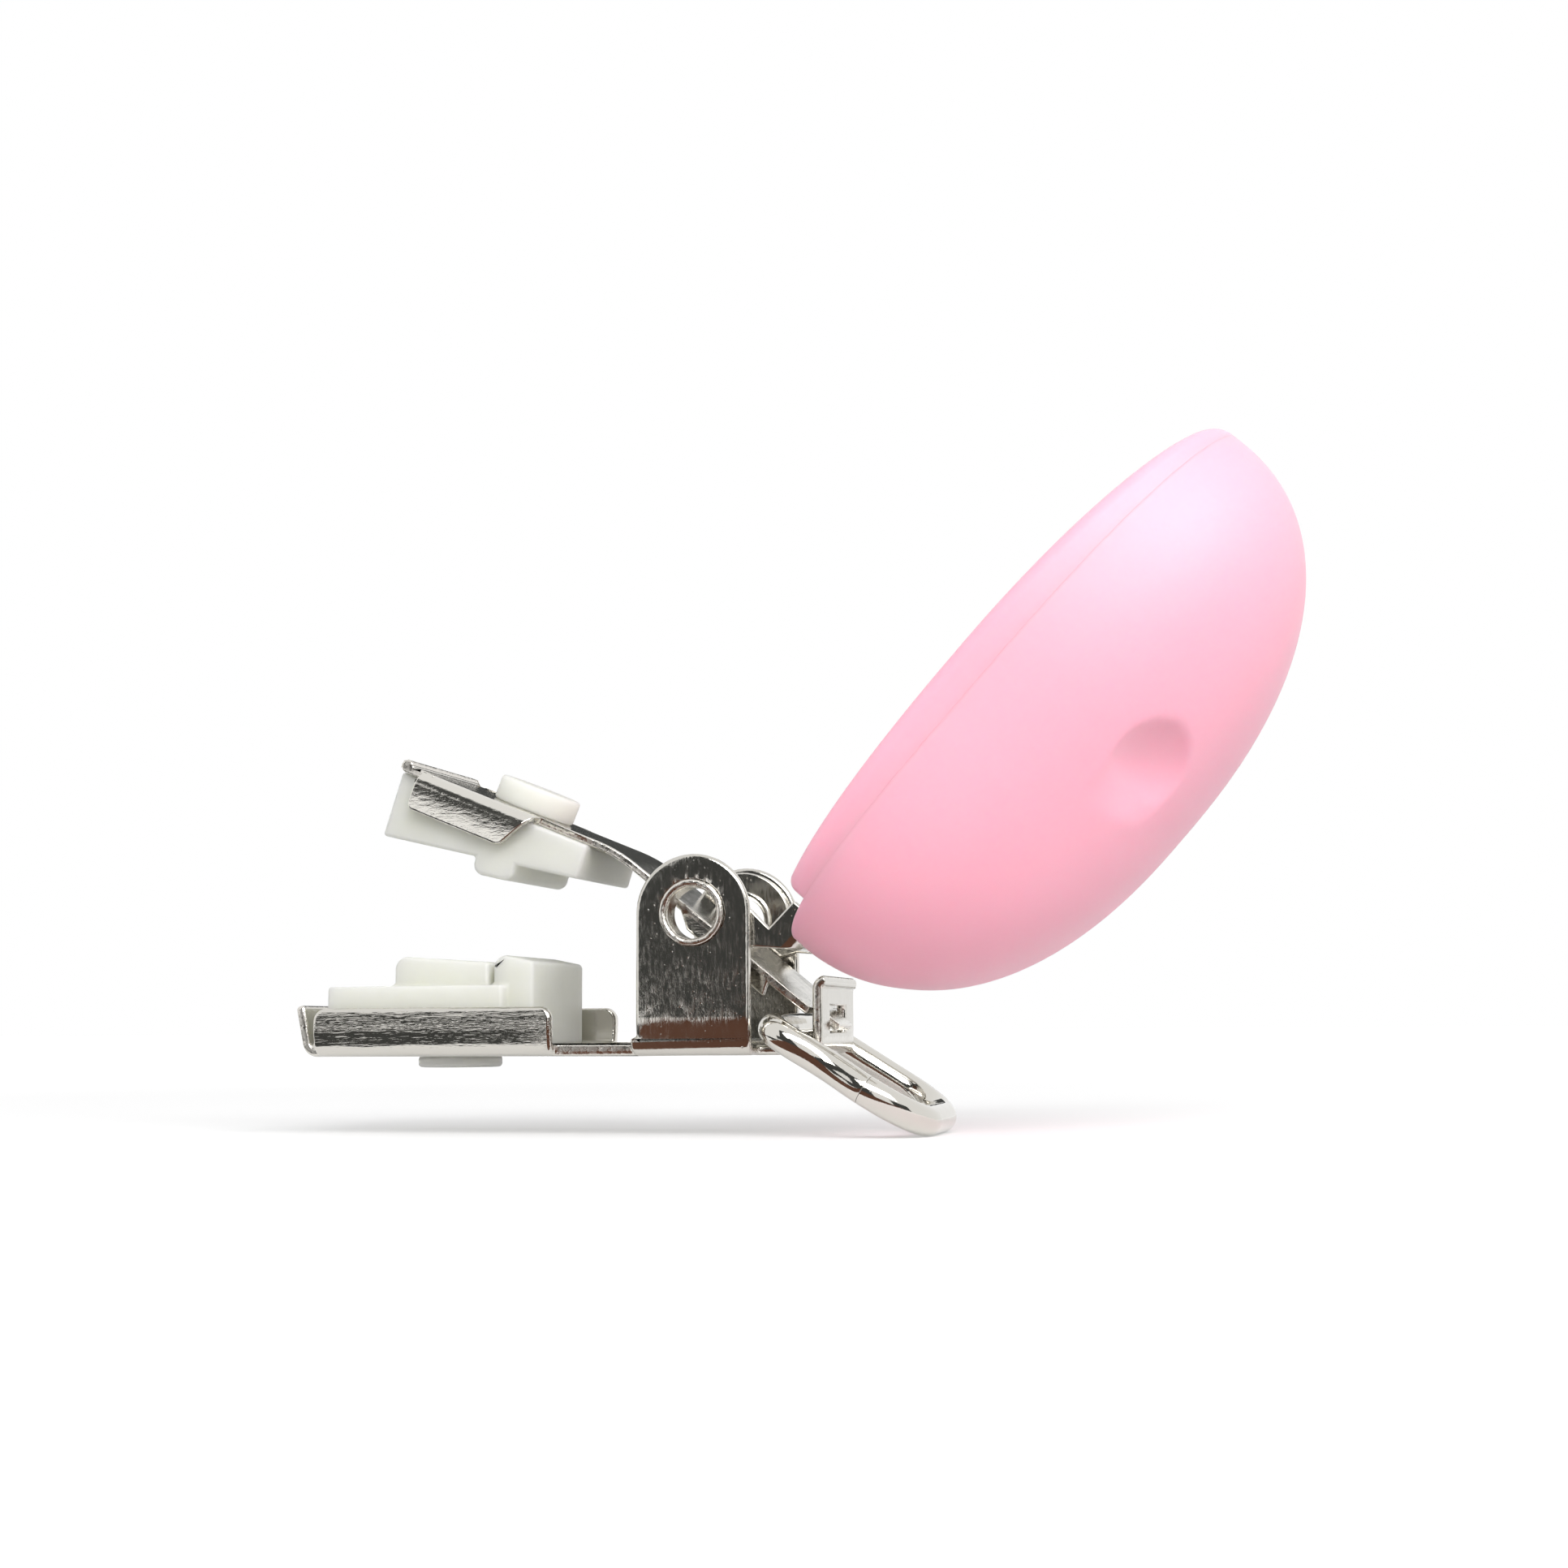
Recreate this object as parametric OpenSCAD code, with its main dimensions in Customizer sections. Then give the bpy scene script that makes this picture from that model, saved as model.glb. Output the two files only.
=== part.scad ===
// Lever clip with padded jaws, a wire strap ring and a soft domed cover on its lever, shown open.
// X runs from the jaws (-X) to the strap ring (+X), Y along the pivot, Z up.
// The origin is on the underside of the base plate, straight below the pivot.

/* [Base plate] */
// Width over the two folded sides of the base
body_w = 12.8; // [12:0.1:14]
// Thickness of the base and lever sheet
sheet_t = 0.65; // [0.55:0.05:0.75]
// Inside radius of the folds in the base
fold_r = 0.4; // [0.3:0.05:0.6]
// Height of the pivot above the underside
pivot_h = 8.75; // [8.6:0.05:9.2]
// Half width and top radius of the pivot ears
ear_r = 3.65; // [3.5:0.05:3.75]
// Length of the lower jaw, from the pivot to the front of its sides
jaw_len = 25.5; // [25:0.1:28]
// Height of the lower jaw's sides
jaw_side_h = 3.1; // [2.6:0.1:3.6]
// Length of the low waist between jaw and ears
waist_len = 5.2; // [4.4:0.1:5.6]
// Height of the base's folds along the waist
waist_h = 1.1; // [0.9:0.05:1.4]
// Width of the base along the waist, where its folds are trimmed
waist_w = 11.4; // [11:0.1:11.8]
// Height of the lip across the front of the lower jaw
lip_h = 3.3; // [2.6:0.1:3.6]
// Distance from the pivot to the upright tab behind it
tab_x = 7.1; // [7:0.05:7.6]
// Width of the tab and of the tongue that carries it
tab_w = 9; // [8.6:0.1:9.2]
// Height of the tab
tab_h = 4.85; // [4.4:0.05:4.9]

/* [Jaws] */
// Thickness of the springy upper jaw plate
spring_t = 0.5; // [0.4:0.05:0.55]
// Slope of the neck between the tab and the upper jaw
neck_slope = 39.1; // [38.5:0.1:40]
// Slope of the upper jaw while the clip is open
jaw_slope = 22.4; // [21.5:0.1:24]
// Distance along X from the pivot to the bend behind the upper jaw
bend_x = 5.6; // [5.4:0.05:6.2]
// Length of the upper jaw in front of its bend
upper_len = 15.4; // [15:0.1:17]
// Width over the upper jaw's sides
upper_w = 12; // [11.4:0.1:12.6]
// Depth of the upper jaw's sides
upper_side = 2.6; // [2.2:0.1:2.9]
// Width of the neck, which passes between the lever's ears
neck_w = 8.8; // [8.4:0.1:9]
// Height of the low front part of the lower pad above the underside
pad_low_h = 4.5; // [4.2:0.1:4.8]
// Height of the lower pad's teeth above the underside
tooth_top = 6.4; // [6:0.05:6.45]
// Depth of the upper pad's tooth below the pad
tooth_depth = 1.1; // [0.8:0.05:1.15]
// Radius of the button that holds each pad in its plate
button_r = 2.75; // [2.5:0.05:3]

/* [Lever] */
// Angle of the open lever above the base plate
lever_lean = 48; // [46:0.5:50]
// Distance from the pivot to the outer face of the lever's web
web_out = 6.45; // [6.35:0.05:6.8]
// Height of the lever's folded sides
lever_side = 2.2; // [2:0.05:2.3]
// Radius of the lever's ears round the pivot
lever_ear_r = 3.3; // [3.1:0.05:3.4]
// Length of the lever's tongue inside the cover
tongue_len = 30; // [26:0.5:32]
// Width of the lever's tongue inside the cover
tongue_w = 9; // [7:0.1:10]
// Hole radius of the hollow pivot eyelets
eyelet_hole_r = 1.6; // [1.4:0.05:1.65]

/* [Strap ring] */
// Thickness of the ring's wire
wire_d = 1.9; // [1.7:0.05:1.95]
// Width over the two legs of the ring
ring_w = 13.7; // [13.6:0.1:15]
// Length of the ring between the centre lines of its ends
ring_len = 10.7; // [10:0.1:14]
// Angle at which the ring hangs below the base plate
ring_droop = 32; // [28:1:34]

/* [Cover] */
// Length of the domed cover
cover_len = 41.2; // [40:0.2:44]
// Width of the domed cover
cover_w = 26; // [24:0.5:32]
// Height of the dome above its parting line
dome_h = 13.2; // [12:0.1:13.5]
// Thickness of the cover's back
back_t = 2.2; // [1.8:0.1:2.3]
// Wall of the dome
wall = 1.6; // [1.2:0.1:2]
// Squareness of the dome's sections and front, 2 is an ellipse
roundness = 2.25; // [2:0.05:2.5]
// Squareness of the cover's outline at its rear, over the lever
rear_roundness = 3.5; // [2.5:0.1:4]
// Radius of the two thumb dimples
dimple_r = 3.3; // [2.5:0.1:3.6]
// Depth of the two thumb dimples
dimple_depth = 0.9; // [0.5:0.1:1]

/* [Hidden] */
$fn = 48;

run_gap = 0.05;      // running clearance of the pivot and of the ring's bar
side_gap = 0.1;      // gap between a lever ear and a base ear
seat_gap = 0.02;     // clearance of a fixed round fit
over = 1;            // how far a cut runs past the face it opens

// Base plate
fold_out = fold_r + sheet_t;
ear_in = body_w / 2 - sheet_t;                    // inside face of a base ear
tab_slot_h = 1.7;
tab_slot_w = 4.2;
hinge_drop = 6.55;
hinge = [tab_x + sheet_t / 2, pivot_h - hinge_drop];    // where the upper jaw rocks in the tab
lip_lean = 12;
lip_reach = 0.3;                                  // how far the lip's fold lies before the sides
lip_root = 2;                                     // flat stretch that joins the lip to the floor
waist_x = ear_r + 0.35;                           // front of the ears' foot

// Eyelets and lever ears
eyelet_wall = 0.25;
eyelet_r = eyelet_hole_r + eyelet_wall;
flange_t = 0.25;
flange_r = eyelet_r + 0.2;
lever_out = ear_in - side_gap;                    // outside face of a lever ear
lever_in = lever_out - sheet_t;
lever_fold_r = 0.3;                               // inside radius of the folds in the lever

// Upper jaw: the neck runs from the hinge to the bend, then the jaw carries on at its own slope
bend = [-bend_x, hinge[1] + (hinge[0] + bend_x) * tan(neck_slope)];
bend_soft = 1.5;                                  // how far the soft bend reaches to each side
tail_tip = 0.9;                                   // the tongue's length behind the hinge
button_x = 8.1;                                   // from the bend to the upper button
button_neck_r = button_r - 0.8;
button_back = 7.5;                                // from the lower jaw's front to its button
low_button_x = jaw_len - button_back;

// Cam bar between the lever's ears
cam_r = 0.4;
cam_reach = 1.5;
cam_angle = 60;

// Ring
wire_r = wire_d / 2;
bar_x = ear_r + wire_r + 0.1;
bar_z = sheet_t + wire_r + run_gap;
ring_half = ring_w / 2 - wire_r;

// Cover, in the lever's own frame: x along the lever, -z towards the dome
part_z = -(web_out - sheet_t);                    // parting plane, the tongue lies on it
cover_x0 = 2.7;
cover_mid = cover_x0 + cover_len / 2;
back_inset = 3.1;                                 // how far the back stops short of the dome's rear
back_bow = 1;                                     // how far the back's ends rise towards the dome
post_r = 1.5;
post_x = [13, 29];
flange_end = 4.7;                                 // end of the lever's folded sides

// ---------- helpers ----------

// Points of an arc about [cx, cz] from angle a0 to a1
function arc(cx, cz, r, a0, a1, n = 8) =
    [for (i = [0 : n]) let (a = a0 + (a1 - a0) * i / n) [cx + r * cos(a), cz + r * sin(a)]];

// Unit normal of a path at point i
function path_dir(p, i) =
    let (a = p[max(i - 1, 0)], b = p[min(i + 1, len(p) - 1)], d = b - a) d / norm(d);
function path_normal(p, i) = let (d = path_dir(p, i)) [-d[1], d[0]];

// Outline of a strip of thickness t along a middle line
function ribbon(p, t) = concat(
    [for (i = [0 : len(p) - 1]) p[i] + path_normal(p, i) * t / 2],
    [for (i = [len(p) - 1 : -1 : 0]) p[i] - path_normal(p, i) * t / 2]
);

// Extrudes a side view across the clip
module across(w) {
    rotate([90, 0, 0]) linear_extrude(w, center = true) children();
}

// A side view standing at y, thickness t outwards on both sides of the clip
module both_sides(y_in, t) {
    for (s = [-1, 1])
        translate([0, s * (y_in + t / 2), 0]) across(t) children();
}

// Square with its upper or lower corners rounded
module soft_rect(x0, x1, z0, z1, r) {
    translate([x0 + r, z0]) square([x1 - x0 - 2 * r, z1 - z0]);
    translate([x0, z0]) square([x1 - x0, z1 - z0 - r]);
    for (x = [x0 + r, x1 - r])
        translate([x, z1 - r]) circle(r);
}

// Section of a folded channel, open upwards
module channel_section(w, h, t, r) {
    difference() {
        rotate(180) translate([0, -h]) soft_rect(-w / 2, w / 2, 0, h, r + t);
        rotate(180) translate([0, -h - over])
            soft_rect(-w / 2 + t, w / 2 - t, 0, h + over - t, r);
    }
}

// Folded channel along X from x0 to x1
module channel(x0, x1, w, h, t, r) {
    translate([x0, 0, 0]) rotate([90, 0, 90]) linear_extrude(x1 - x0) channel_section(w, h, t, r);
}

module lever_frame() {
    translate([0, 0, pivot_h]) rotate([0, -lever_lean, 0]) children();
}

module jaw_frame() {
    translate([bend[0], 0, bend[1]]) rotate([0, jaw_slope, 0]) children();
}

module ring_frame() {
    translate([bar_x, 0, bar_z]) rotate([0, ring_droop, 0]) children();
}

module y_rod(r, l) {
    rotate([90, 0, 0]) cylinder(r = r, h = l, center = true);
}

// ---------- base plate ----------

module base_side_view() {
    soft_rect(-jaw_len, -waist_x - waist_len, 0, jaw_side_h, 0.8);
    translate([-jaw_len + fold_r, 0]) square([jaw_len, waist_h]);
    translate([-ear_r, 0]) square([2 * ear_r, pivot_h]);
    translate([0, pivot_h]) circle(ear_r);
}

module front_lip() {
    r = fold_r + sheet_t / 2;
    x = -jaw_len - lip_reach;
    bottom = concat([[x + lip_root, sheet_t / 2]], arc(x, r + sheet_t / 2, r, 270, 180 + lip_lean));
    tip = bottom[len(bottom) - 1];
    rise = lip_h - tip[1];
    across(body_w - 2 * fold_out)
        polygon(ribbon(concat(bottom, [tip + [-rise * tan(lip_lean), rise]]), sheet_t));
}

module tab() {
    r = fold_r / 2 + sheet_t / 2;
    x = tab_x + sheet_t / 2;
    path = concat(
        [[ear_r - 1, sheet_t / 2]],
        arc(x - r, sheet_t / 2 + r, r, 270, 360),
        arc(x + r, tab_h - sheet_t / 2 - r, r, 180, 90)
    );
    across(tab_w) polygon(ribbon(path, sheet_t));
}

module base_plate() {
    color("gainsboro") difference() {
        union() {
            intersection() {
                channel(-jaw_len, ear_r, body_w, pivot_h + ear_r, sheet_t, fold_r);
                across(body_w + over) base_side_view();
            }
            front_lip();
            tab();
        }
        both_sides(waist_w / 2, body_w - waist_w)
            translate([-waist_x - waist_len, -over]) square([waist_len, waist_h + 2 * over]);
        translate([0, 0, pivot_h]) y_rod(eyelet_r + run_gap, body_w + over);
        translate([-low_button_x, 0, -over])
            cylinder(r = button_neck_r + seat_gap, h = sheet_t + 2 * over);
        translate([hinge[0], 0, hinge[1]])
            cube([2 * sheet_t, tab_slot_w, tab_slot_h], center = true);
    }
}

// ---------- pads ----------

lower_pad_w = body_w - 2 * sheet_t - 0.5;
tooth_w = lower_pad_w - 1.8;
pad_front = jaw_len - 0.5;
pad_rear = waist_x + waist_len + 1.9;
block_rear = pad_rear + 1.75;
tooth_back = 4.8;         // from the lower jaw's front to its first tooth
tooth_front = jaw_len - tooth_back;
rear_tooth_len = 2.9;
tooth_split = pad_rear + rear_tooth_len;
tooth_slit = 0.35;
tooth_drop = 0.4;         // fall of a tooth's top towards the rear

// Side view of one tooth with a rounded front corner
module tooth_view(x0, x1) {
    r = 0.8;
    polygon(concat(
        [[x0, sheet_t], [x1, sheet_t], [x1, tooth_top - tooth_drop]],
        arc(x0 + r, tooth_top - r, r, 90, 180)
    ));
}

module lower_jaw_pad() {
    edge = 0.5;
    color("whitesmoke", 0.85) {
        translate([-pad_front, 0, 0]) rotate([90, 0, 90]) linear_extrude(pad_front - block_rear)
            polygon([
                [-lower_pad_w / 2 + edge, sheet_t], [lower_pad_w / 2 - edge, sheet_t],
                [lower_pad_w / 2, sheet_t + edge], [lower_pad_w / 2, pad_low_h],
                [-lower_pad_w / 2, pad_low_h], [-lower_pad_w / 2, sheet_t + edge]
            ]);
        across(tooth_w) {
            tooth_view(-tooth_front, -tooth_split - tooth_slit / 2);
            tooth_view(-tooth_split + tooth_slit / 2, -pad_rear);
            translate([-tooth_split - tooth_slit, sheet_t])
                square([2 * tooth_slit, pad_low_h - sheet_t]);
        }
        translate([-low_button_x, 0, 0]) pad_button(sheet_t, 0.75);
    }
}

// Button that snaps a pad into its plate: the head lies below z = 0, the neck reaches up to z = t
module pad_button(t, head) {
    translate([0, 0, -head]) cylinder(r = button_r, h = head);
    translate([0, 0, -head / 2]) cylinder(r = button_neck_r, h = head / 2 + t + 0.2);
}

upper_pad_w = upper_w - 2 * spring_t - 1;
upper_button_head = 1.65;
pad_tilt = 9.1;          // slope of the upper pad's face against its plate
pad_deep = 4.65;         // depth of the upper pad's front below the plate's middle

module upper_pad_view() {
    top = -spring_t / 2;
    x0 = -upper_len + 0.1;
    x1 = -1.6;
    tip_z = -pad_deep + (x1 - x0) * tan(pad_tilt);
    t0 = -8.7;
    t1 = -5.9;
    r = 0.7;
    polygon([[x0 - 0.35, top], [x1 - 0.2, top], [x1, tip_z], [x0, -pad_deep]]);
    translate([x0, -pad_deep]) rotate(pad_tilt) {
        a = (t0 - x0) / cos(pad_tilt);
        b = (t1 - x0) / cos(pad_tilt);
        rotate(180) translate([-b, 0]) translate([0, -over]) soft_rect(0, b - a, 0, tooth_depth + over, r);
    }
}

module upper_jaw_pad() {
    color("whitesmoke", 0.85) jaw_frame() {
        across(upper_pad_w) upper_pad_view();
        translate([-button_x, 0, spring_t / 2]) mirror([0, 0, 1])
            pad_button(spring_t, upper_button_head);
    }
}

// ---------- upper jaw plate ----------

module neck_strip() {
    d = [cos(neck_slope), -sin(neck_slope)];
    u = [cos(jaw_slope), -sin(jaw_slope)];
    across(neck_w) polygon(ribbon(concat(
        [hinge - (sheet_t + 0.1) * d],
        [for (t = [0 : 0.2 : 1]) bend + bend_soft * ((1 - t) * (1 - t) * d - t * t * u)],
        [bend - (button_x + button_r + over) * u]
    ), spring_t));
    across(tab_slot_w - 0.6) polygon(ribbon([hinge - d, hinge + tail_tip * d], spring_t));
}

skirt_front = 1.3;        // how far the upper jaw's sides stop short of its front
skirt_foot = 7.6;         // where their lower edge turns up, in front of the bend
skirt_rise = 2;           // length of that rise
skirt_r = 0.5;
bead_r = 0.42;            // rolled front edge
bead_w = upper_w - 2 * 1.43 * bead_r;
bead_back = 0.15;         // how far its middle lies behind the front
bead_root = 2;            // flat stretch that joins it to the jaw

module jaw_side_view() {
    top = spring_t / 2;
    low = top - upper_side;
    front = -upper_len + skirt_front;
    r = skirt_r;
    polygon(concat(
        [[front, top]],
        arc(front + r, low + r, r, 180, 270),
        arc(-skirt_foot, low + 1.6 * r, 1.6 * r, 270, 315),
        [[-skirt_foot + skirt_rise, top]]
    ));
}

module upper_jaw_plate() {
    color("gainsboro") difference() {
        union() {
            neck_strip();
            neck_sides();
            jaw_frame() {
                intersection() {
                    mirror([0, 0, 1]) translate([0, 0, -spring_t / 2])
                        channel(-upper_len, 0, upper_w, upper_side, spring_t, 0.5);
                    across(upper_w + over) jaw_side_view();
                }
                translate([bead_back - upper_len, -bead_w / 2, -spring_t / 2])
                    cube([bead_root, bead_w, spring_t]);
                translate([bead_back - upper_len, 0, bead_r - spring_t / 2]) y_rod(bead_r, bead_w);
            }
        }
        jaw_frame() translate([-button_x, 0, -over])
            cylinder(r = button_neck_r + seat_gap, h = spring_t + 2 * over);
    }
}

// Folded-down sides of the neck, which stop short of the ring's bar
neck_side_x = [-1.5, bar_x - 0.35];
neck_side_h = 0.85;

module neck_sides() {
    drop = neck_side_h / cos(neck_slope);
    ends = [for (x = neck_side_x) [x, hinge[1] + (hinge[0] - x) * tan(neck_slope)]];
    both_sides(neck_w / 2 - spring_t, spring_t)
        polygon([ends[0], ends[1], ends[1] - [drop / 3, drop], ends[0] + [drop / 2, -1.5 * drop]]);
}

// ---------- lever ----------

module lever_side_view() {
    top = -web_out + lever_side;
    circle(lever_ear_r);
    polygon([
        [-0.6, -lever_ear_r], [0.9, -lever_ear_r - 0.9], [2.6, -web_out], [flange_end, -web_out],
        [flange_end, top], [2.4, top + 0.1], [lever_ear_r * cos(40), -lever_ear_r * sin(40)], [0, 0]
    ]);
}

module lever_plate() {
    color("gainsboro") lever_frame() difference() {
        union() {
            intersection() {
                translate([0, 0, -web_out])
                    channel(
                        -lever_ear_r, flange_end, 2 * lever_out, web_out + lever_ear_r, sheet_t, lever_fold_r
                    );
                across(2 * lever_out + over) lever_side_view();
            }
            translate([flange_end - 1, -tongue_w / 2, -web_out])
                cube([tongue_len + 1, tongue_w, sheet_t]);
            translate([cam_reach * cos(cam_angle), 0, cam_reach * sin(cam_angle)])
                y_rod(cam_r, 2 * lever_in + sheet_t);
        }
        y_rod(eyelet_r + seat_gap, 2 * lever_out + over);
        for (x = post_x)
            translate([x, 0, -web_out - over]) cylinder(r = post_r + 0.15, h = sheet_t + 2 * over);
    }
}

module pivot_eyelet(s) {
    a = lever_in - flange_t;
    b = body_w / 2 + run_gap;
    color("silver") translate([0, 0, pivot_h]) rotate([-s * 90, 0, 0]) rotate_extrude()
        polygon([
            [eyelet_hole_r, a], [flange_r, a], [flange_r, lever_in], [eyelet_r, lever_in],
            [eyelet_r, b], [flange_r, b], [flange_r, b + flange_t], [eyelet_hole_r + 0.1, b + flange_t],
            [eyelet_hole_r, b]
        ]);
}

module left_pivot_eyelet() {
    pivot_eyelet(-1);
}

module right_pivot_eyelet() {
    pivot_eyelet(1);
}

// ---------- strap ring ----------

module ring_corner(x, y, r, a) {
    translate([x, y, 0]) rotate([0, 0, a]) rotate_extrude(angle = 90)
        translate([r, 0]) circle(wire_r, $fn = 32);
}

module strap_ring() {
    near = wire_d * 0.75;
    far = 3.6;
    h = ring_half;
    color("silver") ring_frame() {
        y_rod(wire_r, 2 * (h - near), $fn = 32);
        translate([ring_len, 0, 0]) y_rod(wire_r, 2 * (h - far), $fn = 32);
        for (s = [-1, 1])
            translate([near, s * h, 0]) rotate([0, 90, 0])
                cylinder(r = wire_r, h = ring_len - near - far, $fn = 32);
        ring_corner(near, h - near, near, 90);
        ring_corner(near, near - h, near, 180);
        ring_corner(ring_len - far, h - far, far, 0);
        ring_corner(ring_len - far, far - h, far, 270);
    }
}

// ---------- cover ----------

ring_n = 48;              // points round the cover's outline
level_n = 9;              // levels from the rim of the dome to its top
bulge = 2 / roundness;    // exponent of the outline and of the dome's sections
top_angle = 87;           // where the dome's last level lies, short of its very top
egg = 0.06;               // how much wider the cover is towards the pivot
back_edge_r = 0.7;
dimple_at = [0.07, 0.69]; // centre of a dimple, in half lengths and half widths from the middle
dimple_stretch = 1.05;    // a dimple's width across the lever over its length

function spow(v, e) = sign(v) * pow(abs(v), e);

// Point j of the cover's plan outline, moved in by inset
function outline(j, inset = 0) =
    let (
        a = 360 * j / ring_n,
        e = 2 / (cos(a) < 0 ? rear_roundness : roundness),
        x = spow(cos(a), e),
        y = spow(sin(a), e)
    )
    [cover_mid + (cover_len / 2 - inset) * x, (cover_w / 2 - inset) * y * (1 - egg * x)];

// The same outline with the rear cut short for the lever, shrunk towards the middle by scale
function back_outline(j, inset, scale) =
    let (p = outline(j, inset))
    [cover_mid + (max(p[0], cover_x0 + back_inset + inset) - cover_mid) * scale, p[1] * scale];

// Thickness of the back at x: its ends rise towards the dome
function back_thick(x) = back_t - back_bow * pow((x - cover_mid) / (cover_len / 2), 2);

// Closed solid from rings of ring_n points, the lowest ring first; its two end rings are flat
module ring_stack(levels) {
    n = ring_n;
    k = len(levels);
    polyhedron(
        points = [for (level = levels) each level],
        faces = concat(
            [[for (j = [0 : n - 1]) j]],
            [for (i = [0 : k - 2], j = [0 : n - 1])
                [i * n + j, (i + 1) * n + j, (i + 1) * n + (j + 1) % n]],
            [for (i = [0 : k - 2], j = [0 : n - 1])
                [i * n + j, (i + 1) * n + (j + 1) % n, i * n + (j + 1) % n]],
            [[for (j = [n - 1 : -1 : 0]) (k - 1) * n + j]]
        )
    );
}

// Solid dome moved in all round by inset, standing on the parting plane and pointing along -z
module dome(inset) {
    ring_stack([
        for (i = [level_n : -1 : 0])
            let (
                a = top_angle * i / level_n,
                share = pow(cos(a), bulge),
                h = (dome_h - inset) * pow(sin(a), bulge)
            )
                [for (j = [0 : ring_n - 1])
                    let (p = outline(j, inset))
                        [cover_mid + (p[0] - cover_mid) * share, p[1] * share, part_z - h]]
    ]);
}

// Place on the dome's surface where a dimple is centred, and the way out of the dome there
dimple_lift = pow(1 - pow(dimple_at[0], roundness) - pow(dimple_at[1], roundness), 1 / roundness);
function dimple_centre(s) = [
    cover_mid + dimple_at[0] * cover_len / 2,
    s * dimple_at[1] * cover_w / 2,
    part_z - dimple_lift * dome_h
];
dimple_tilt = atan(
    (pow(dimple_at[1], roundness - 1) / (cover_w / 2)) / (pow(dimple_lift, roundness - 1) / dome_h)
);

// Dish-shaped cutter for a dimple
module thumb_dimple(s) {
    ball_r = (dimple_r * dimple_r + dimple_depth * dimple_depth) / (2 * dimple_depth);
    translate(dimple_centre(s)) rotate([s * dimple_tilt, 0, 0])
        scale([1, dimple_stretch, 1]) translate([0, 0, -ball_r + dimple_depth]) sphere(ball_r, $fn = 64);
}

// Thickening inside the dome that keeps its wall whole behind a dimple
module thumb_backing(s) {
    translate(dimple_centre(s)) rotate([s * dimple_tilt, 0, 0])
        scale([1, dimple_stretch, 1])
            cylinder(r1 = dimple_r + 0.5, r2 = dimple_r, h = dimple_depth + wall, $fn = 32);
}

module cover_front_shell() {
    color("pink") lever_frame() {
        difference() {
            dome(0);
            difference() {
                translate([0, 0, 0.01]) dome(wall);
                for (s = [-1, 1])
                    thumb_backing(s);
            }
            for (s = [-1, 1])
                thumb_dimple(s);
            translate([0, -lever_out - 0.3, -web_out - 0.1])
                cube([2 * flange_end, 2 * lever_out + 0.6, web_out]);
        }
        for (x = post_x)
            translate([x, 0, part_z - dome_h + wall]) cylinder(r = post_r, h = dome_h - wall + back_t / 2);
    }
}

module cover_back_plate() {
    edge = [for (a = [0, 30, 60, 90]) a];
    middle = [0.7, 0.4, 0.05];
    color("pink") lever_frame() difference() {
        ring_stack(concat(
            [[for (j = [0 : ring_n - 1]) let (p = back_outline(j, 0, 1)) [p[0], p[1], part_z]]],
            [for (a = edge) [for (j = [0 : ring_n - 1])
                let (p = back_outline(j, back_edge_r * (1 - cos(a)), 1))
                    [p[0], p[1], part_z + back_thick(p[0]) - back_edge_r * (1 - sin(a))]]],
            [for (share = middle) [for (j = [0 : ring_n - 1])
                let (p = back_outline(j, back_edge_r, share))
                    [p[0], p[1], part_z + (share < 0.1 ? back_t : back_thick(p[0]))]]]
        ));
        for (x = post_x)
            translate([x, 0, part_z - over]) cylinder(r = post_r + seat_gap, h = over + back_t / 2);
    }
}

base_plate();
lower_jaw_pad();
upper_jaw_plate();
upper_jaw_pad();
lever_plate();
left_pivot_eyelet();
right_pivot_eyelet();
strap_ring();
cover_front_shell();
cover_back_plate();
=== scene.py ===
# %% [markdown]
# # A lever strap clip, opened
# The clip holds a strap's end on its wire ring and bites cloth between two padded jaws. It is made
# of a pressed base, a sprung upper jaw, a lever on two hollow rivets, two soft pads and a moulded
# cover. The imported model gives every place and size, so the first step is to load it.

# %% The frame
import math

import bpy
from mathutils import Matrix, Vector
from mathutils.bvhtree import BVHTree


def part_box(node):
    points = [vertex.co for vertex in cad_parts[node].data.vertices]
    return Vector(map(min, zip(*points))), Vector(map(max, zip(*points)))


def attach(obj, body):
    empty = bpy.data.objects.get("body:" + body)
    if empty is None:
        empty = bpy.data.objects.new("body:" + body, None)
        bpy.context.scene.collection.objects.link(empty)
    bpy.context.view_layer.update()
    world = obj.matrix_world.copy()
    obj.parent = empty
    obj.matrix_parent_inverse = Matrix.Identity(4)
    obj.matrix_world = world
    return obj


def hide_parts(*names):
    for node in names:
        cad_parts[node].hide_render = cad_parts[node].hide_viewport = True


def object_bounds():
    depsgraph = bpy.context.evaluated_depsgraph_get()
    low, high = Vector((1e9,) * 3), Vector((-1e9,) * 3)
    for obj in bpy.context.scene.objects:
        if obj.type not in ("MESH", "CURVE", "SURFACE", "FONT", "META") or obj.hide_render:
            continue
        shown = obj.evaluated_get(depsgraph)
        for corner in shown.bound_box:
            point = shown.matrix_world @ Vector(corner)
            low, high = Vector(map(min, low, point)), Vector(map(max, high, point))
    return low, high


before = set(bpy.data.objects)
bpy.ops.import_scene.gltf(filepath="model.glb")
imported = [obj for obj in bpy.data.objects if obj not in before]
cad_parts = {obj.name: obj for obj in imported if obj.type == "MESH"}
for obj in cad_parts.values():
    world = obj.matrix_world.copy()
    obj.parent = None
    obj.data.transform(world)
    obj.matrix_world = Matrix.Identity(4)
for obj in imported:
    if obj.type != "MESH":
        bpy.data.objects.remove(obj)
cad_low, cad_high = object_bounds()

MM = 0.001
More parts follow.
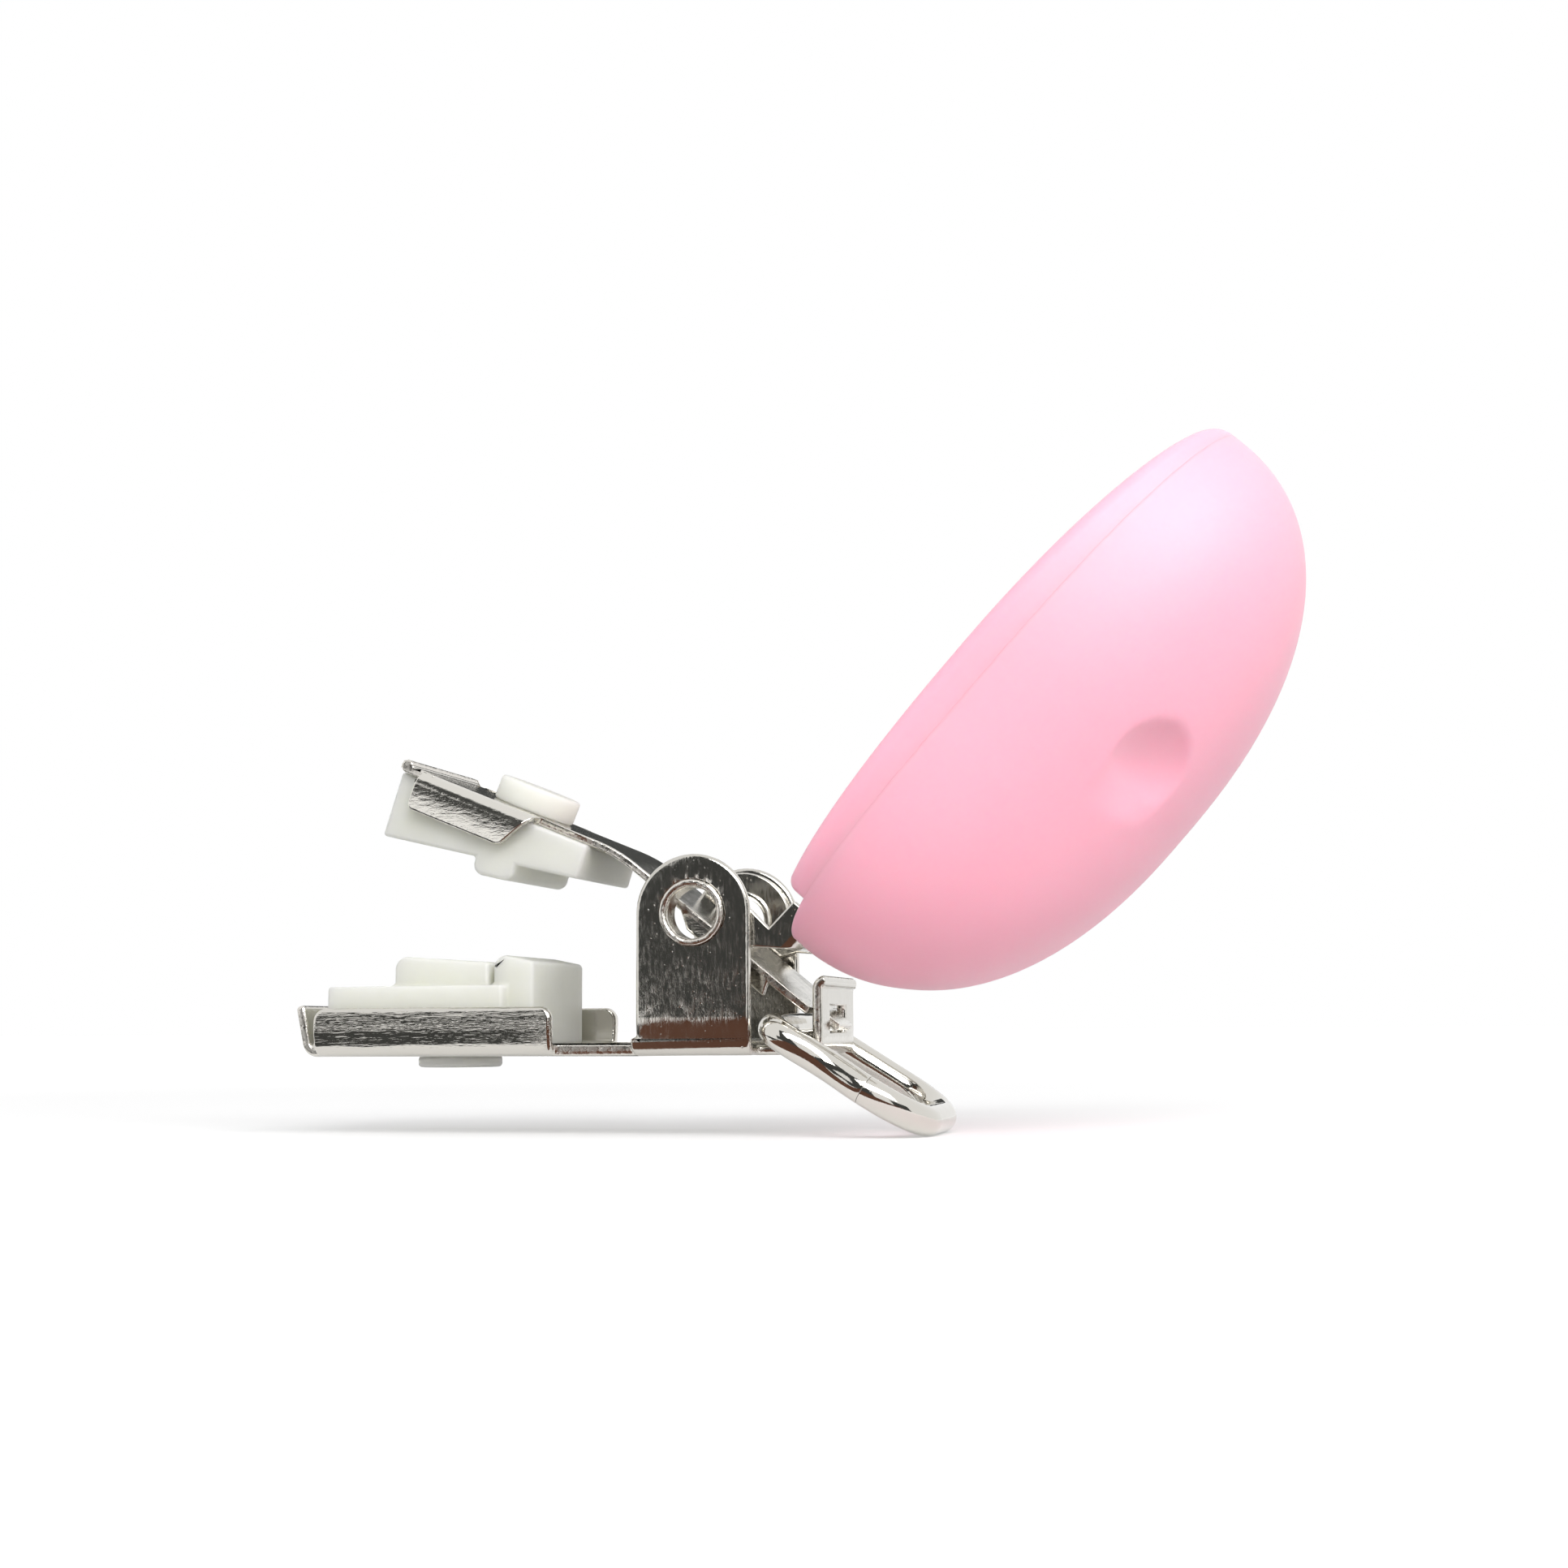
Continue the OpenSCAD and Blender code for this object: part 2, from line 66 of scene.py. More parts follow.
print("packed box in mm:", [round(v / MM, 2) for v in (*cad_low, *cad_high)])

# %% [markdown]
# ## Camera
# The clip is seen from its side, a little from behind and from just above the table. Three angles
# and a distance place the camera round a point above the pivot. Its three axes are put together
# as the columns of a rotation.

# %% Camera
view_turn, view_tilt, view_roll = (math.radians(a) for a in (14.562, -6.902, -0.4))
aim = Vector((4.284, 0, 17.312)) * MM
distance = 131.11 * MM

away = Vector((
    math.sin(view_turn) * math.cos(view_tilt),
    -math.cos(view_turn) * math.cos(view_tilt),
    math.sin(view_tilt),
))
level_right = Vector((math.cos(view_turn), math.sin(view_turn), 0))
level_up = away.cross(level_right)
right = math.cos(view_roll) * level_right + math.sin(view_roll) * level_up
up = math.cos(view_roll) * level_up - math.sin(view_roll) * level_right
turn = Matrix((right, up, away)).transposed()
bpy.ops.object.camera_add(location=aim + away * distance, rotation=turn.to_euler())
camera = bpy.context.object
camera.name = "side_camera"
camera.data.lens = 46.58
camera.data.sensor_width = 36
camera.data.clip_start = 0.01
bpy.context.scene.camera = camera
bpy.context.scene.view_settings.view_transform = "Standard"
print("camera height above the base in mm:", round(camera.location.z / MM, 2))

# %% [markdown]
# ## Materials
# A Principled shader needs few numbers to be a metal or a plastic. What makes it look real is
# small variation: waves in the sheet, scratches, grain. One helper turns a hex colour into the
# linear numbers that the shader works in, and one adds a node with its settings and links.


# %% Material helpers
def linear(hex_colour):
    """An sRGB hex colour as linear red, green, blue and alpha."""
    parts = [int(hex_colour[i:i + 2], 16) / 255 for i in (1, 3, 5)]
    return (*[c / 12.92 if c <= 0.04045 else ((c + 0.055) / 1.055) ** 2.4 for c in parts], 1)


def add_node(tree, kind, inputs=None, **settings):
    """Adds a node. Settings are its properties. Inputs are values, or sockets to link from."""
    made = tree.nodes.new(kind)
    for name, value in settings.items():
        setattr(made, name, value)
    for name, value in (inputs or {}).items():
        if isinstance(value, bpy.types.NodeSocket):
            tree.links.new(value, made.inputs[name])
        else:
            made.inputs[name].default_value = value
    return made


def new_material(name):
    """A material with an empty node tree, the tree, and the piece's own coordinates."""
    made = bpy.data.materials.new(name)
    made.use_nodes = True
    made.node_tree.nodes.clear()
    place = add_node(made.node_tree, "ShaderNodeTexCoord").outputs["Object"]
    return made, made.node_tree, place


def per_metre(size_mm):
    """Noise scale that gives features of about this size."""
    return 1 / (size_mm * MM)


# %% [markdown]
# ### Bright nickel plate
# The stampings are thin steel, pressed, tumbled and nickel plated. The plate is nearly a mirror,
# but the sheet under it waves a little, the tools leave scratches along one direction and tumbling
# leaves specks. So the colour is nickel's warm grey, the roughness is low and uneven, and the bump
# carries slow waves, long scratches and small pits.


# %% Nickel plate
def nickel(name, colour, smooth, rough, wave_mm, wave_depth_mm, scratch_mm, scratch_depth_mm,
           stretch=(1, 1, 1), pit_depth_mm=0.0015, pit_mm=0.5, pit_reach=0.17):
    """Plated metal with waves, pits, and scratches that can be stretched along an axis."""
    made, tree, place = new_material(name)
    wave = add_node(tree, "ShaderNodeTexNoise", {
        "Vector": place, "Scale": per_metre(wave_mm), "Detail": 1.0, "Roughness": 0.4})
    along = add_node(tree, "ShaderNodeMapping", {"Vector": place, "Scale": stretch})
    scratch = add_node(tree, "ShaderNodeTexNoise", {
        "Vector": along.outputs["Vector"], "Scale": per_metre(scratch_mm), "Detail": 3.0,
        "Roughness": 0.65})
    pits = add_node(tree, "ShaderNodeTexVoronoi", {
        "Vector": place, "Scale": per_metre(pit_mm), "Randomness": 1.0})
    pit = add_node(tree, "ShaderNodeMapRange", {
        "Value": pits.outputs["Distance"], "From Min": 0.0, "From Max": pit_reach,
        "To Min": 0.0, "To Max": 1.0}, interpolation_type="SMOOTHSTEP")
    roughness = add_node(tree, "ShaderNodeMapRange", {
        "Value": scratch.outputs["Fac"], "From Min": 0.35, "From Max": 0.7,
        "To Min": smooth, "To Max": rough})
    waved = add_node(tree, "ShaderNodeBump", {
        "Height": wave.outputs["Fac"], "Strength": 1.0, "Distance": wave_depth_mm * MM})
    scratched = add_node(tree, "ShaderNodeBump", {
        "Height": scratch.outputs["Fac"], "Strength": 1.0, "Distance": scratch_depth_mm * MM,
        "Normal": waved.outputs["Normal"]})
    pitted = add_node(tree, "ShaderNodeBump", {
        "Height": pit.outputs["Result"], "Strength": 1.0, "Distance": pit_depth_mm * MM,
        "Normal": scratched.outputs["Normal"]})
    shader = add_node(tree, "ShaderNodeBsdfPrincipled", {
        "Base Color": linear(colour), "Metallic": 1.0,
        "Roughness": roughness.outputs["Result"], "Normal": pitted.outputs["Normal"]})
    add_node(tree, "ShaderNodeOutputMaterial", {"Surface": shader.outputs["BSDF"]})
    return made


sheet_nickel = nickel(
    "bright_nickel_on_pressed_steel", "#cecbc4", smooth=0.03, rough=0.22,
    wave_mm=1.6, wave_depth_mm=0.025, scratch_mm=0.2, scratch_depth_mm=0.011,
    stretch=(1, 1, 0.25), pit_depth_mm=0.008)
drawn_nickel = nickel(
    "bright_nickel_with_draw_lines", "#d2cfc8", smooth=0.06, rough=0.16,
    wave_mm=1.8, wave_depth_mm=0.03, scratch_mm=0.26, scratch_depth_mm=0.035,
    stretch=(0.1, 1, 1), pit_depth_mm=0.004)
brushed_nickel = nickel(
    "bright_nickel_lightly_brushed", "#dcd9d2", smooth=0.06, rough=0.16,
    wave_mm=1.6, wave_depth_mm=0.02, scratch_mm=0.2, scratch_depth_mm=0.014,
    stretch=(0.3, 1, 1), pit_depth_mm=0.003)
wire_nickel = nickel(
    "bright_nickel_on_drawn_wire", "#d6d3cc", smooth=0.04, rough=0.1,
    wave_mm=2.2, wave_depth_mm=0.04, scratch_mm=0.2, scratch_depth_mm=0.002)
print("nickel:", sheet_nickel.name, drawn_nickel.name, brushed_nickel.name, wire_nickel.name)

# %% [markdown]
# ### Sheared edges
# Where the press cut the sheet, the edge is not a mirror. Part of it is burnished and the rest is
# torn, and the plating follows the marks. It looks brighter and whiter than the faces, because it
# scatters light from all round.

# %% Sheared edge
cut_nickel, tree, place = new_material("nickel_on_sheared_edge")
torn = add_node(tree, "ShaderNodeTexNoise", {
    "Vector": place, "Scale": per_metre(0.35), "Detail": 2.0, "Roughness": 0.5})
roughness = add_node(tree, "ShaderNodeMapRange", {
    "Value": torn.outputs["Fac"], "From Min": 0.35, "From Max": 0.65,
    "To Min": 0.16, "To Max": 0.36})
marks = add_node(tree, "ShaderNodeBump", {
    "Height": torn.outputs["Fac"], "Strength": 1.0, "Distance": 0.035 * MM})
shader = add_node(tree, "ShaderNodeBsdfPrincipled", {
    "Base Color": linear("#dcd8d1"), "Metallic": 1.0,
    "Roughness": roughness.outputs["Result"], "Normal": marks.outputs["Normal"]})
add_node(tree, "ShaderNodeOutputMaterial", {"Surface": shader.outputs["BSDF"]})
print("edge material:", cut_nickel.name)

# %% [markdown]
# ### Frosted soft plastic
# The pads are moulded in unfilled, milky plastic. Light enters, scatters and comes out again, so
# their shaded sides stay pale. The shader gets subsurface scatter and a little transmission, and a
# grain from the spark-eroded mould breaks the shine.

# %% Frosted plastic
frosted, tree, place = new_material("frosted_moulded_plastic")
grain = add_node(tree, "ShaderNodeTexNoise", {
    "Vector": place, "Scale": per_metre(0.24), "Detail": 3.0, "Roughness": 0.6})
cloud = add_node(tree, "ShaderNodeTexNoise", {
    "Vector": place, "Scale": per_metre(2.5), "Detail": 2.0, "Roughness": 0.5})
milky = add_node(tree, "ShaderNodeMix", {
    "Factor": cloud.outputs["Fac"], "A": linear("#e6e6dc"), "B": linear("#eeefe7")},
    data_type="RGBA")
roughness = add_node(tree, "ShaderNodeMapRange", {
    "Value": grain.outputs["Fac"], "From Min": 0.3, "From Max": 0.7,
    "To Min": 0.34, "To Max": 0.5})
eroded = add_node(tree, "ShaderNodeBump", {
    "Height": grain.outputs["Fac"], "Strength": 1.0, "Distance": 0.004 * MM})
shader = add_node(tree, "ShaderNodeBsdfPrincipled", {
    "Base Color": milky.outputs["Result"], "Roughness": roughness.outputs["Result"],
    "IOR": 1.48, "Transmission Weight": 0.25, "Subsurface Weight": 1.0,
    "Subsurface Radius": (1.0, 1.0, 0.92), "Subsurface Scale": 2.2 * MM,
    "Normal": eroded.outputs["Normal"]})
add_node(tree, "ShaderNodeOutputMaterial", {"Surface": shader.outputs["BSDF"]})
print("pad material:", frosted.name)

# %% [markdown]
# ### Soft-touch pink
# The cover is moulded plastic with a matte, rubbery lacquer. It has no mirror highlight. A fine
# orange peel gives it its powdery look, and the colour hardly varies.

# %% Soft-touch lacquer
soft_pink, tree, place = new_material("soft_touch_lacquer_on_plastic")
peel = add_node(tree, "ShaderNodeTexNoise", {
    "Vector": place, "Scale": per_metre(0.3), "Detail": 2.0, "Roughness": 0.5})
patch = add_node(tree, "ShaderNodeTexNoise", {
    "Vector": place, "Scale": per_metre(9.0), "Detail": 1.0})
pink = add_node(tree, "ShaderNodeMix", {
    "Factor": patch.outputs["Fac"], "A": linear("#fbaabe"), "B": linear("#fcaec2")},
    data_type="RGBA")
roughness = add_node(tree, "ShaderNodeMapRange", {
    "Value": peel.outputs["Fac"], "From Min": 0.3, "From Max": 0.7,
    "To Min": 0.55, "To Max": 0.65})
powder = add_node(tree, "ShaderNodeBump", {
    "Height": peel.outputs["Fac"], "Strength": 1.0, "Distance": 0.005 * MM})
shader = add_node(tree, "ShaderNodeBsdfPrincipled", {
    "Base Color": pink.outputs["Result"], "Roughness": roughness.outputs["Result"],
    "IOR": 1.5, "Sheen Weight": 0.05, "Sheen Roughness": 0.6,
    "Coat Weight": 0.8, "Coat Roughness": 0.55, "Coat IOR": 1.7,
    "Subsurface Weight": 0.35, "Subsurface Radius": (1.0, 0.35, 0.5),
    "Subsurface Scale": 3 * MM,
    "Normal": powder.outputs["Normal"]})
add_node(tree, "ShaderNodeOutputMaterial", {"Surface": shader.outputs["BSDF"]})
print("cover material:", soft_pink.name)

# %% [markdown]
# ## Stampings
# Each stamping was cut and folded in a press, so its faces are flat or simply curved and its edges
# are slightly rounded by tumbling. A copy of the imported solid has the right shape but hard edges
# and loose triangles. The copy is merged and flat neighbours are dissolved. Faces with a hollow
# outline are split so that the bevel can't fold them over themselves, except on two pieces that do
# better without. Then a narrow bevel catches the light along each edge.


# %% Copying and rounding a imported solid
def select_only(piece):
    """Makes the piece the active object and the only one selected."""
    bpy.ops.object.select_all(action="DESELECT")
    piece.select_set(True)
    bpy.context.view_layer.objects.active = piece


def edit_all(piece):
    """Enters edit mode on the piece with all of it selected."""
    select_only(piece)
    bpy.ops.object.mode_set(mode="EDIT")
    bpy.ops.mesh.select_all(action="SELECT")


merge_mm, flat_angle = 0.002, math.radians(1)


def copy_of(node, name, split=True):
    """A merged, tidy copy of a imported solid's mesh as a new piece.

    With split, faces with a hollow outline are cut into plain ones.
    """
    piece = bpy.data.objects.new(name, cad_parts[node].data.copy())
    bpy.context.scene.collection.objects.link(piece)
    piece.data.materials.clear()
    edit_all(piece)
    bpy.ops.mesh.remove_doubles(threshold=merge_mm * MM)
    bpy.ops.mesh.dissolve_limited(angle_limit=flat_angle)
    if split:
        bpy.ops.mesh.vert_connect_concave()
    bpy.ops.mesh.normals_make_consistent(inside=False)
    bpy.ops.object.mode_set(mode="OBJECT")
    return piece


def apply_modifier(piece, kind, **settings):
    """Adds a modifier with these settings and applies it at once."""
    select_only(piece)
    bpy.ops.object.modifier_add(type=kind)
    made = piece.modifiers[-1]
    for key, value in settings.items():
        setattr(made, key, value)
    bpy.ops.object.modifier_apply(modifier=made.name)


def surface_of(piece):
    """The piece's surface as it is now, to cast rays at or to find nearest points on."""
    return BVHTree.FromPolygons([v.co for v in piece.data.vertices],
                                [p.vertices for p in piece.data.polygons])


def round_edges(piece, width_mm, angle=35, segments=2):
    """Bevels the edges that are sharper than the angle.

    Where two edges meet at a very small angle a bevel throws points far out. Such points are set
    back onto the surface they came from.
    """
    before = surface_of(piece)
    apply_modifier(piece, "BEVEL", width=width_mm * MM, segments=segments, limit_method="ANGLE",
                   angle_limit=math.radians(angle), use_clamp_overlap=False)
    for v in piece.data.vertices:
        place, _, _, distance = before.find_nearest(v.co)
        if distance > width_mm / 2 * MM:
            v.co = place


def shade(piece, angle=35):
    """Shades smooth up to the angle, and lets the large faces stay flat."""
    select_only(piece)
    bpy.ops.object.shade_smooth_by_angle(angle=math.radians(angle))
    apply_modifier(piece, "WEIGHTED_NORMAL", keep_sharp=True)


# %% [markdown]
# ### Which faces are cut edges
# A face of the sheet has the other face close behind it. A cut edge has a long way of metal behind
# it. So a ray is sent inwards from each face, from the middle of its largest triangle, and the
# length of its way through tells the two apart.


# %% Finding cut edges
def paint_rims(piece, face, rim, thickness_mm):
    """Gives the cut edges of a sheet their own material."""
    piece.data.materials.append(face)
    piece.data.materials.append(rim)
    points = [v.co for v in piece.data.vertices]
    tree = surface_of(piece)
    piece.data.calc_loop_triangles()
    largest = {}
    for triangle in piece.data.loop_triangles:
        if triangle.area > largest.get(triangle.polygon_index, (0,))[0]:
            middle = sum((points[v] for v in triangle.vertices), Vector()) / 3
            largest[triangle.polygon_index] = (triangle.area, middle)
    step = 0.01 * MM
    longest = 1.5 * thickness_mm * MM
    count = 0
    for polygon in piece.data.polygons:
        start = largest.get(polygon.index, (0, polygon.center))[1]
        through = tree.ray_cast(start - polygon.normal * step, -polygon.normal)[3]
        if through is None or through > longest:
            polygon.material_index = 1
            count += 1
    print(piece.name, "faces:", len(piece.data.polygons), "of which cut edges:", count)


def place_on_clip(piece, body, slot, *nodes):
    """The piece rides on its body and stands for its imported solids."""
    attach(piece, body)
    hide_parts(*nodes)
    low = [min(v.co[i] for v in piece.data.vertices) for i in range(3)]
    high = [max(v.co[i] for v in piece.data.vertices) for i in range(3)]
    boxes = [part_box(node) for node in nodes]
    off = max(abs(a - b) for i in range(3) for a, b in (
        (low[i], min(box[0][i] for box in boxes)), (high[i], max(box[1][i] for box in boxes))))
    print(piece.name, "box differs from its solid's by at most", round(off / MM, 3), "mm")


# %% [markdown]
# ### Base
# The base's long sides carry lines from the folding tool, and its ears do not, so the sides get
# the material with draw lines. A real folded side is never quite flat either: it bulges by a tenth
# of a millimetre, and the ears are tucked in as much at their foot. Bisect cuts add the points for
# the bulge and the tuck.

# %% Base
sheet_t, spring_t = 0.65, 0.5
body_half, jaw_rear, jaw_side_h, ear_r = 6.4, -9.2, 3.1, 3.65
floor_r = 1.05
bulge_mm, crease_z, tuck_mm = 0.12, 2.0, 0.12
skin_margin, end_margin, level_margin = 0.05, 0.1, 0.01


def cut_across(piece, points_mm, direction):
    """Bisects the whole piece with parallel planes, to give it points to bend at."""
    edit_all(piece)
    for point in points_mm:
        bpy.ops.mesh.select_all(action="SELECT")
        bpy.ops.mesh.bisect(plane_co=[c * MM for c in point], plane_no=direction)
    bpy.ops.object.mode_set(mode="OBJECT")


base = copy_of("base_plate", "clip_base")
round_edges(base, width_mm=0.26, segments=4)
side_steps = 6
cut_across(base, [(0, 0, floor_r + (jaw_side_h - floor_r) * k / side_steps)
                  for k in range(side_steps)] + [(0, 0, crease_z)], (0, 0, 1))
middle_z, half_z = (floor_r + jaw_side_h) / 2, (jaw_side_h - floor_r) / 2
for v in base.data.vertices:
    x, y, z = v.co / MM
    if abs(y) < body_half - sheet_t - skin_margin:
        continue
    if x < jaw_rear + end_margin and z > floor_r - level_margin:
        across = min(1.0, abs(z - middle_z) / half_z)
        v.co.y += math.copysign(bulge_mm * (1 - across ** 2) * MM, y)
    elif abs(x) < ear_r + end_margin and z < crease_z:
        tuck = tuck_mm * min(z / floor_r, (crease_z - z) / (crease_z - floor_r))
        v.co.y -= math.copysign(tuck * MM, y)
shade(base)
paint_rims(base, sheet_nickel, cut_nickel, sheet_t)
base.data.materials.append(drawn_nickel)
for polygon in base.data.polygons:
    if polygon.material_index == 0 and polygon.center.x < jaw_rear * MM:
        polygon.material_index = 2
place_on_clip(base, "base", "plated_steel", "base_plate")

# %% [markdown]
# ### Sprung jaw
# The upper jaw's sides curl inwards a little towards their lower edge, which is why they shade
# from dark at the fold to light at the edge. The same bisect and move gives the curl, in the jaw's
# own sloping frame.

# %% Sprung jaw
jaw_slope = math.radians(22.4)
neck_slope = math.radians(39.1)
hinge_x, hinge_z, bend_x = 7.425, 2.2, -5.6
bend_z = hinge_z + (hinge_x - bend_x) * math.tan(neck_slope)
jaw_place = Matrix.Translation((bend_x, 0, bend_z)) @ Matrix.Rotation(jaw_slope, 4, "Y")
jaw_back = jaw_place.inverted()
upper_half, upper_side, jaw_start = 6.0, 2.6, -5.0
curl_mm, curl_from, curl_steps = 0.17, 0.5, 8

jaw = copy_of("upper_jaw_plate", "sprung_jaw")
round_edges(jaw, width_mm=0.13, segments=3)
jaw_up = jaw_place.to_3x3() @ Vector((0, 0, 1))
jaw_levels = [spring_t / 2 - curl_from - (upper_side - curl_from) * k / curl_steps
              for k in range(curl_steps)]
cut_across(jaw, [jaw_place @ Vector((0, 0, level)) for level in jaw_levels], jaw_up)
for v in jaw.data.vertices:
    p = jaw_back @ (v.co / MM)
    on_side = p.x < jaw_start and abs(p.y) > upper_half - spring_t - skin_margin
    if on_side and p.z < jaw_levels[0] + level_margin:
        depth = (jaw_levels[0] - p.z) / (upper_side - curl_from)
        v.co.y -= math.copysign(curl_mm * max(depth, 0) ** 2 * MM, p.y)
shade(jaw)
paint_rims(jaw, brushed_nickel, cut_nickel, spring_t)
place_on_clip(jaw, "upper_jaw", "plated_steel", "upper_jaw_plate")

# %% [markdown]
# ### Lever
# Most of the lever is inside the cover. Its ears and web only need their edges rounded, and its
# faces are left whole.

# %% Lever
lever = copy_of("lever_plate", "pressed_lever", split=False)
round_edges(lever, width_mm=0.14, segments=3)
shade(lever)
paint_rims(lever, sheet_nickel, cut_nickel, sheet_t)
place_on_clip(lever, "lever", "plated_steel", "lever_plate")

# %% [markdown]
# ## Pads
# The pads came from a mould, so no edge on them is sharp. A wider bevel with more steps rounds
# them. Only the lower pad's faces are split first.

# %% Pads
for node, name, body, split in (
    ("lower_jaw_pad", "lower_pad", "base", True),
    ("upper_jaw_pad", "upper_pad", "upper_jaw", False),
):
    pad = copy_of(node, name, split)
    pad.data.materials.append(frosted)
    round_edges(pad, width_mm=0.25, angle=40, segments=4)
    shade(pad, angle=40)
    place_on_clip(pad, body, "frosted_pad", node)

# %% [markdown]
# ## Strap ring
# The ring is one length of wire, bent round four corners until its ends meet in one of the legs.
# By hand it is drawn the same way: a round section is pushed along the straight parts and spun
# round the corners, from one side of the joint to the other. Bent wire springs back, so the leg
# bows outwards a little before the joint, and each wire end is slightly rounded.

# %% Wire ring
wire_r = 0.95
bar_x, bar_z = 4.7, 1.65
ring_len, ring_half = 10.7, 13.7 / 2 - wire_r
near_r, far_r = 1.425, 3.6
ring_place = Matrix.Translation((bar_x * MM, 0, bar_z * MM)) @ Matrix.Rotation(
    math.radians(32), 4, "Y")
joint_x, joint_gap, end_round = 7.0, 0.02, 0.04
bow_mm = 0.42
section_points, leg_steps, near_steps, far_steps, end_steps = 32, 24, 12, 20, 6


def push(vector_mm, steps=1):
    """Extrudes what is selected by this much, in equal steps."""
    for _ in range(steps):
        bpy.ops.mesh.extrude_region_move(
            TRANSFORM_OT_translate={"value": [v * MM / steps for v in vector_mm]})


def spin_corner(centre_mm, steps):
    """Turns the selected section a quarter round a corner, clockwise seen from above."""
    bpy.ops.mesh.spin(steps=steps, dupli=False, angle=math.pi / 2,
                      center=[c * MM for c in centre_mm], axis=(0, 0, 1))


bpy.ops.object.select_all(action="DESELECT")
bpy.ops.mesh.primitive_circle_add(
    vertices=section_points, radius=wire_r * MM, fill_type="NGON",
    rotation=(0, math.pi / 2, 0), location=((joint_x - joint_gap / 2) * MM, -ring_half * MM, 0))
ring = bpy.context.object
ring.name = "wire_ring"
bpy.ops.object.transform_apply(location=True, rotation=True, scale=True)
edit_all(ring)
push((near_r - joint_x + joint_gap / 2, 0, 0), steps=leg_steps)
spin_corner((near_r, near_r - ring_half, 0), near_steps)
push((0, 2 * (ring_half - near_r), 0))
spin_corner((near_r, ring_half - near_r, 0), near_steps)
push((ring_len - near_r - far_r, 0, 0))
spin_corner((ring_len - far_r, ring_half - far_r, 0), far_steps)
push((0, 2 * (far_r - ring_half), 0))
spin_corner((ring_len - far_r, far_r - ring_half, 0), far_steps)
push((joint_x + joint_gap / 2 - ring_len + far_r, 0, 0), steps=end_steps)
bpy.ops.mesh.select_all(action="SELECT")
bpy.ops.mesh.remove_doubles(threshold=0.01 * MM)
bpy.ops.mesh.normals_make_consistent(inside=False)
bpy.ops.object.mode_set(mode="OBJECT")
apply_modifier(ring, "BEVEL", width=end_round * MM, segments=3, limit_method="ANGLE",
               angle_limit=math.radians(60))
for v in ring.data.vertices:
    x, y = v.co.x / MM, v.co.y / MM
    if y < near_r - ring_half and near_r < x < joint_x:
        share = (x - near_r) / (joint_x - near_r)
        v.co.y += bow_mm * (1 - math.cos(2 * math.pi * share)) / 2 * MM
ring.data.transform(ring_place)
ring.data.materials.append(wire_nickel)
select_only(ring)
bpy.ops.object.shade_smooth_by_angle(angle=math.radians(50))
place_on_clip(ring, "ring", "polished_wire", "strap_ring")

# %% [markdown]
# ## Pivot eyelets
# Each eyelet is a short tube whose ends were rolled over and hammered by a punch. A circle is
# pushed out along the pivot and scaled at each step, which turns the barrel, both rims and the
# bore in one surface. A shallow noise then dents the hammered rim.

# %% Eyelets
pivot = Vector((0, 0, 8.75))
hole_r, barrel_r, rim_r, rim_t = 1.6, 1.85, 2.05, 0.25
lever_in, rim_out = 5.0, 6.45
profile = [
    (hole_r, lever_in - rim_t + 0.06), (hole_r + 0.08, lever_in - rim_t),
    (rim_r - 0.08, lever_in - rim_t), (rim_r, lever_in - rim_t + 0.08), (rim_r, lever_in),
    (barrel_r, lever_in), (barrel_r, rim_out), (rim_r, rim_out), (rim_r, rim_out + 0.12),
    (rim_r - 0.05, rim_out + 0.2), (rim_r - 0.14, rim_out + rim_t),
    (hole_r + 0.2, rim_out + rim_t), (hole_r + 0.08, rim_out + rim_t - 0.08),
    (hole_r, rim_out - 0.02), (hole_r, rim_out - 0.3),
]
dent_size, dent_depth, dent_share = 0.35, 0.09, 0.55
hammered = bpy.data.textures.new("hammer_marks", "CLOUDS")
hammered.noise_scale = dent_size * MM


def turned(name, side, steps=96):
    """A closed surface of revolution about the pivot, from the profile's radii and distances."""
    bpy.ops.object.select_all(action="DESELECT")
    bpy.ops.mesh.primitive_circle_add(vertices=steps, radius=profile[0][0] * MM)
    made = bpy.context.object
    made.name = name
    edit_all(made)
    bpy.ops.transform.translate(value=(0, 0, profile[0][1] * MM))
    for (r0, y0), (r1, y1) in zip(profile, profile[1:] + profile[:1]):
        bpy.ops.mesh.extrude_region_move(
            TRANSFORM_OT_translate={"value": (0, 0, (y1 - y0) * MM)})
        bpy.ops.transform.resize(value=(r1 / r0, r1 / r0, 1))
    bpy.ops.mesh.select_all(action="SELECT")
    bpy.ops.mesh.remove_doubles(threshold=0.005 * MM)
    bpy.ops.mesh.normals_make_consistent(inside=False)
    bpy.ops.object.mode_set(mode="OBJECT")
    rolled = made.vertex_groups.new(name="rolled")
    rolled.add([v.index for v in made.data.vertices if v.co.z > (rim_out + 0.05) * MM], 1, "ADD")
    apply_modifier(made, "DISPLACE", texture=hammered, texture_coords="LOCAL",
                   strength=dent_depth * MM, mid_level=dent_share, vertex_group="rolled")
    made.data.transform(Matrix.Translation(pivot * MM) @ Matrix.Rotation(
        -side * math.pi / 2, 4, "X"))
    made.data.materials.append(cut_nickel)
    made.data.materials.append(sheet_nickel)
    for polygon in made.data.polygons:
        if abs(polygon.center.y) < rim_out * MM:
            polygon.material_index = 1
    select_only(made)
    bpy.ops.object.shade_smooth_by_angle(angle=math.radians(50))
    return made


place_on_clip(turned("near_eyelet", -1), "lever", "plated_steel", "left_pivot_eyelet")
place_on_clip(turned("far_eyelet", 1), "lever", "plated_steel", "right_pivot_eyelet")

